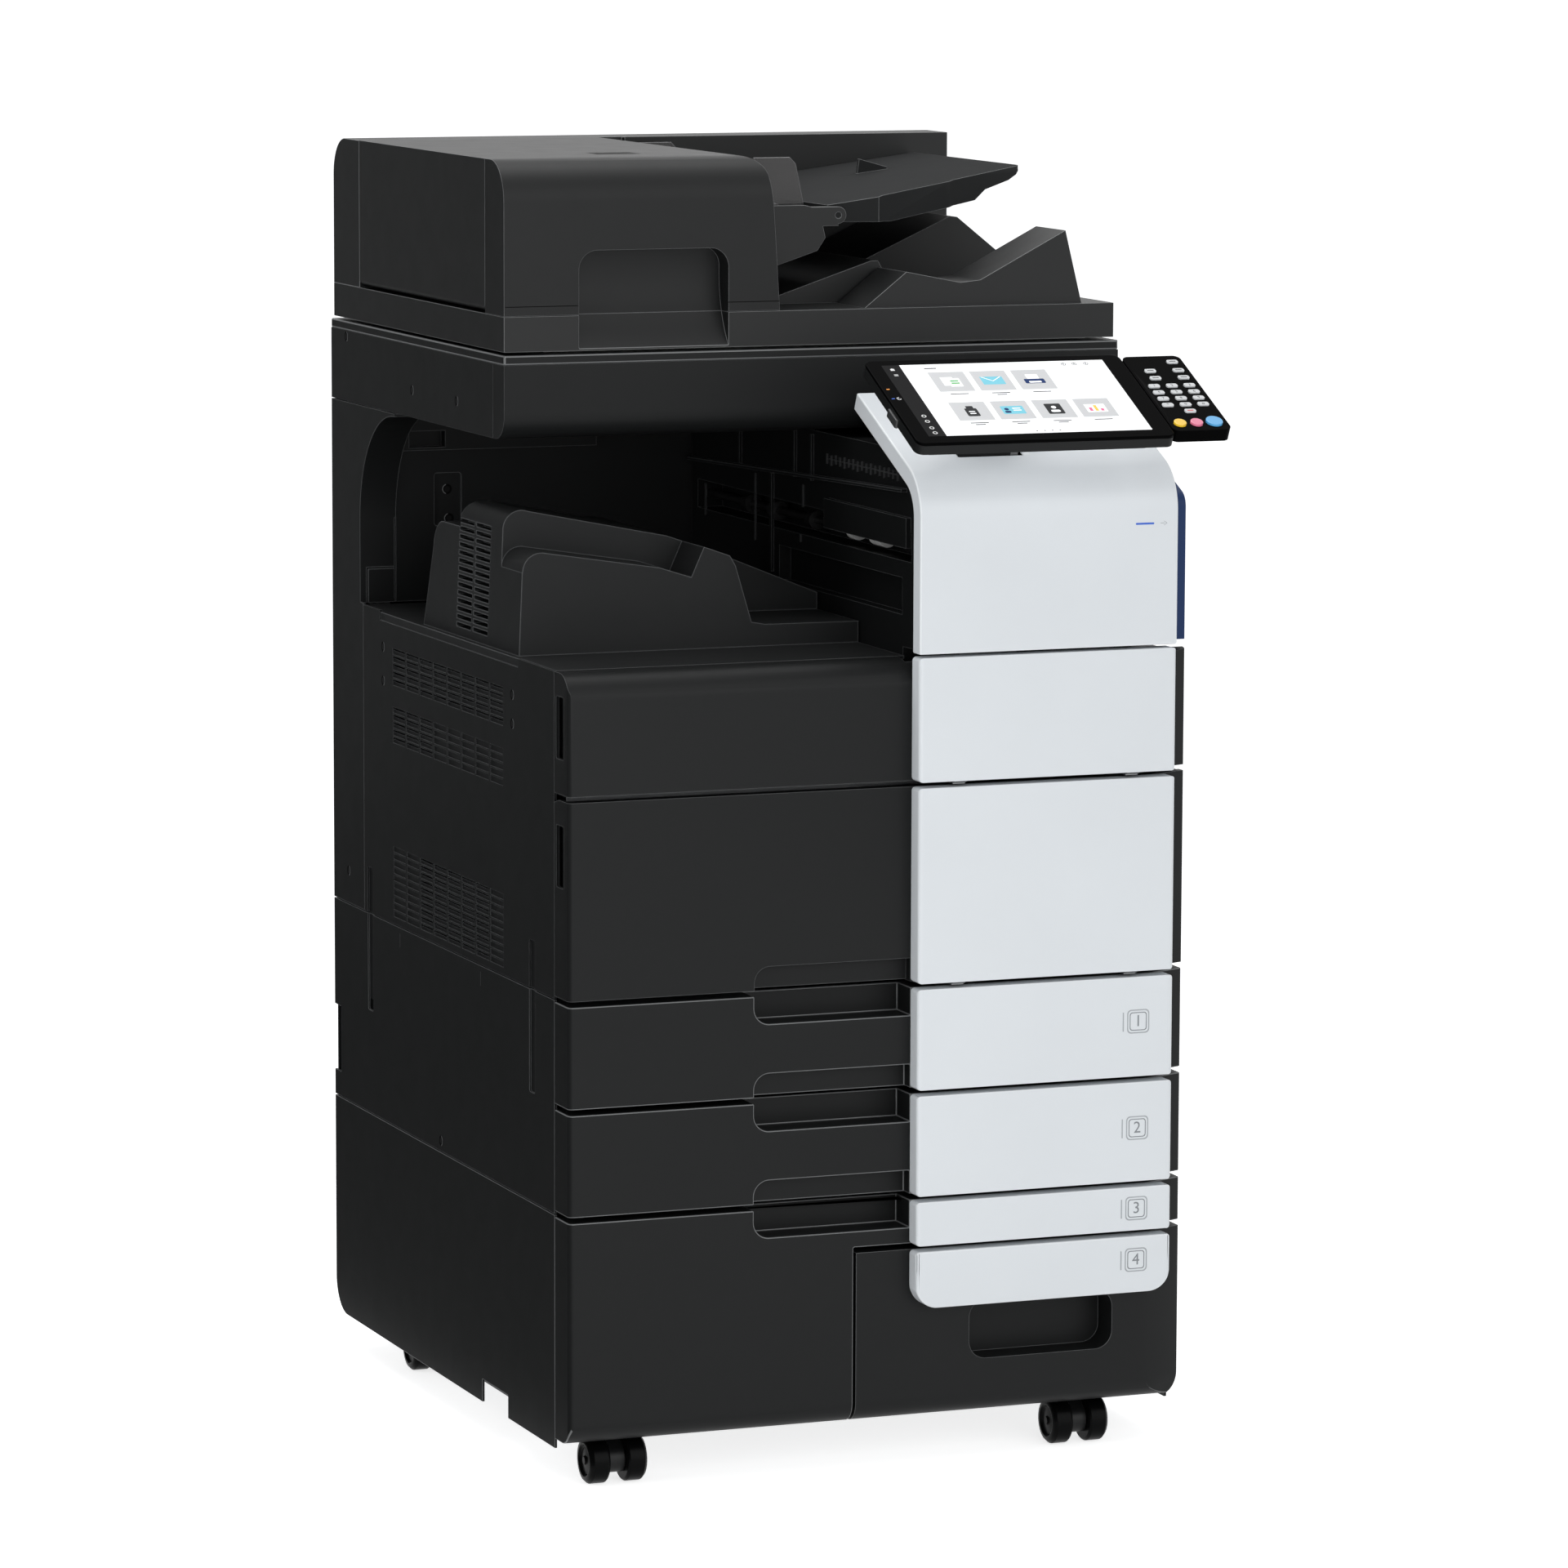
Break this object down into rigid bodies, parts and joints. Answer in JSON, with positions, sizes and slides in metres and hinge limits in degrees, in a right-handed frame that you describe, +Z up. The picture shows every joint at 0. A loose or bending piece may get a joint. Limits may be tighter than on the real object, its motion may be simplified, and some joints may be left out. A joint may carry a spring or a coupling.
{
  "type": "photocopier",
  "caption": "Floor-standing colour photocopier with paper drawers, output bay, flatbed scanner under a document feeder lid, and a tilting touch panel",
  "frame": {"origin": "on the floor, under the middle of the bounding box", "axes": "+X to the machine's right as its user sees it, +Y from the front to the back, +Z up"},
  "size_m": [0.615, 0.7974, 1.208],
  "materials": {
    "black_plastic": "fine-grained black moulding",
    "dark_plastic": "plain dark moulding",
    "white_plastic": "satin cool white moulding",
    "gloss_black": "polished black",
    "navy_plastic": "glossy dark navy",
    "pale_plastic": "pale roller plastic",
    "steel": "zinc-plated sheet",
    "glass": "clear float glass",
    "belt_rubber": "dark belt",
    "roller_rubber": "dull grey rubber",
    "pad_white": "white foam-backed sheet",
    "smoke_plastic": "smoky clear plastic",
    "key_silver": "silver-grey rubber",
    "key_yellow": "yellow",
    "key_pink": "pink",
    "key_blue": "light blue",
    "caster_plastic": "black wheel rubber"
  },
  "bodies": {
    "machine": {"chassis": "steel", "left_base_cover": "black_plastic", "left_lower_cover": "black_plastic", "left_upper_cover": "black_plastic", "rear_pillar_cover": "black_plastic", "rear_cover": "black_plastic", "right_lower_cover": "black_plastic", "right_column_cover": "navy_plastic", "column_cover": "white_plastic", "output_tray": "black_plastic", "exit_unit": "dark_plastic", "scanner_body": "black_plastic", "scanner_top": "black_plastic", "platen_glass": "glass", "lid_hinges": "steel", "door_hinges": "steel", "toner_cartridges": "dark_plastic", "drum_units": "dark_plastic", "transfer_unit": "belt_rubber", "fuser_unit": "dark_plastic"},
    "exit_rollers": {"exit_rollers": "pale_plastic"},
    "scan_carriage": {"scan_carriage": "dark_plastic"},
    "upper_door": {"upper_door": "black_plastic", "upper_door_panel": "white_plastic"},
    "lower_door": {"lower_door": "black_plastic", "lower_door_panel": "white_plastic"},
    "tray_1": {"tray_1": "black_plastic", "tray_1_panel": "white_plastic"},
    "tray_2": {"tray_2": "black_plastic", "tray_2_panel": "white_plastic"},
    "tray_3": {"tray_3": "black_plastic", "tray_3_panel": "white_plastic"},
    "tray_4": {"tray_4": "black_plastic", "tray_4_panel": "white_plastic"},
    "feeder_lid": {"feeder_base": "black_plastic", "platen_pad": "pad_white", "feeder_front": "black_plastic", "feeder_rear": "black_plastic"},
    "feed_cover": {"feed_cover": "black_plastic"},
    "feed_rollers": {"feed_rollers": "roller_rubber"},
    "document_tray": {"document_tray": "black_plastic"},
    "front_guide": {"front_guide": "smoke_plastic"},
    "rear_guide": {"rear_guide": "smoke_plastic"},
    "control_panel": {"panel_housing": "black_plastic", "panel_glass": "gloss_black", "keypad_housing": "gloss_black"},
    "small_keys": {"small_keys": "key_silver"},
    "reset_key": {"reset_key": "key_yellow"},
    "stop_key": {"stop_key": "key_pink"},
    "start_key": {"start_key": "key_blue"},
    "right_door": {"right_door": "black_plastic"},
    "bypass_tray": {"bypass_tray": "black_plastic"},
    "caster_front_left": {"caster_front_left": "dark_plastic"},
    "wheels_front_left": {"wheels_front_left": "caster_plastic"},
    "caster_front_right": {"caster_front_right": "dark_plastic"},
    "wheels_front_right": {"wheels_front_right": "caster_plastic"},
    "caster_rear_left": {"caster_rear_left": "dark_plastic"},
    "wheels_rear_left": {"wheels_rear_left": "caster_plastic"},
    "caster_rear_right": {"caster_rear_right": "dark_plastic"},
    "wheels_rear_right": {"wheels_rear_right": "caster_plastic"}
  },
  "joints": [
    {"name": "exit_roller_spin", "type": "hinge", "parent": "machine", "child": "exit_rollers", "pos_m": [0.0495, 0.00468, 0.856], "axis": [0, 1, 0], "continuous": true},
    {"name": "carriage_slide", "type": "slide", "parent": "machine", "child": "scan_carriage", "axis": [1, 0, 0], "range_m": [0, 0.47]},
    {"name": "upper_door_drop", "type": "hinge", "parent": "machine", "child": "upper_door", "pos_m": [0.1525, -0.30832, 0.6455], "axis": [1, 0, 0], "range_deg": [0, 85]},
    {"name": "lower_door_drop", "type": "hinge", "parent": "machine", "child": "lower_door", "pos_m": [0.1525, -0.30832, 0.4587], "axis": [1, 0, 0], "range_deg": [0, 85]},
    {"name": "tray_1_pull", "type": "slide", "parent": "machine", "child": "tray_1", "axis": [0, -1, 0], "range_m": [0, 0.45]},
    {"name": "tray_2_pull", "type": "slide", "parent": "machine", "child": "tray_2", "axis": [0, -1, 0], "range_m": [0, 0.45]},
    {"name": "tray_3_pull", "type": "slide", "parent": "machine", "child": "tray_3", "axis": [0, -1, 0], "range_m": [0, 0.43]},
    {"name": "tray_4_pull", "type": "slide", "parent": "machine", "child": "tray_4", "axis": [0, -1, 0], "range_m": [0, 0.43]},
    {"name": "lid_lift", "type": "hinge", "parent": "machine", "child": "feeder_lid", "pos_m": [-0.0075, 0.39368, 1.038], "axis": [-1, 0, 0], "range_deg": [0, 65]},
    {"name": "feed_cover_open", "type": "hinge", "parent": "feeder_lid", "child": "feed_cover", "pos_m": [-0.3015, 0.11968, 1.0735], "axis": [0, -1, 0], "range_deg": [0, 65]},
    {"name": "feed_roller_spin", "type": "hinge", "parent": "feeder_lid", "child": "feed_rollers", "pos_m": [-0.0925, 0.11968, 1.1725], "axis": [0, 1, 0], "continuous": true},
    {"name": "document_tray_lift", "type": "hinge", "parent": "feeder_lid", "child": "document_tray", "pos_m": [0.0445, 0.11968, 1.1495], "axis": [0, -1, 0], "range_deg": [0, 25]},
    {"name": "front_guide_slide", "type": "slide", "parent": "feeder_lid", "child": "front_guide", "axis": [0, 1, 0], "range_m": [0, 0.12]},
    {"name": "rear_guide_slide", "type": "slide", "parent": "feeder_lid", "child": "rear_guide", "axis": [0, -1, 0], "range_m": [0, 0.12]},
    {"name": "panel_tilt", "type": "hinge", "parent": "machine", "child": "control_panel", "pos_m": [0.1145, -0.25532, 0.9914], "axis": [1, 0, 0], "range_deg": [-15, 35]},
    {"name": "small_keys_press", "type": "slide", "parent": "control_panel", "child": "small_keys", "axis": [0, 0.4337, -0.9011], "range_m": [0, 0.0012], "stiffness_N_per_m": 200},
    {"name": "reset_key_press", "type": "slide", "parent": "control_panel", "child": "reset_key", "axis": [0, 0.4337, -0.9011], "range_m": [0, 0.0012], "stiffness_N_per_m": 200},
    {"name": "stop_key_press", "type": "slide", "parent": "control_panel", "child": "stop_key", "axis": [0, 0.4337, -0.9011], "range_m": [0, 0.0012], "stiffness_N_per_m": 200},
    {"name": "start_key_press", "type": "slide", "parent": "control_panel", "child": "start_key", "axis": [0, 0.4337, -0.9011], "range_m": [0, 0.0012], "stiffness_N_per_m": 200},
    {"name": "right_door_swing", "type": "hinge", "parent": "machine", "child": "right_door", "pos_m": [0.3015, 0.25668, 0.606], "axis": [0, 0, 1], "range_deg": [0, 90]},
    {"name": "bypass_fold", "type": "hinge", "parent": "right_door", "child": "bypass_tray", "pos_m": [0.3005, -0.02032, 0.5057], "axis": [0, 1, 0], "range_deg": [0, 65]},
    {"name": "swivel_front_left", "type": "hinge", "parent": "machine", "child": "caster_front_left", "pos_m": [-0.2495, -0.23232, 0.046], "axis": [0, 0, 1], "continuous": true},
    {"name": "roll_front_left", "type": "hinge", "parent": "caster_front_left", "child": "wheels_front_left", "pos_m": [-0.2495, -0.25032, 0.022], "axis": [1, 0, 0], "continuous": true},
    {"name": "swivel_front_right", "type": "hinge", "parent": "machine", "child": "caster_front_right", "pos_m": [0.2135, -0.23232, 0.046], "axis": [0, 0, 1], "continuous": true},
    {"name": "roll_front_right", "type": "hinge", "parent": "caster_front_right", "child": "wheels_front_right", "pos_m": [0.2135, -0.25032, 0.022], "axis": [1, 0, 0], "continuous": true},
    {"name": "swivel_rear_left", "type": "hinge", "parent": "machine", "child": "caster_rear_left", "pos_m": [-0.2495, 0.27868, 0.046], "axis": [0, 0, 1], "continuous": true},
    {"name": "roll_rear_left", "type": "hinge", "parent": "caster_rear_left", "child": "wheels_rear_left", "pos_m": [-0.2495, 0.26068, 0.022], "axis": [1, 0, 0], "continuous": true},
    {"name": "swivel_rear_right", "type": "hinge", "parent": "machine", "child": "caster_rear_right", "pos_m": [0.2135, 0.27868, 0.046], "axis": [0, 0, 1], "continuous": true},
    {"name": "roll_rear_right", "type": "hinge", "parent": "caster_rear_right", "child": "wheels_rear_right", "pos_m": [0.2135, 0.26068, 0.022], "axis": [1, 0, 0], "continuous": true}
  ],
  "couplings": [
    {"joint": "rear_guide_slide", "follows": "front_guide_slide", "ratio": 1}
  ]
}
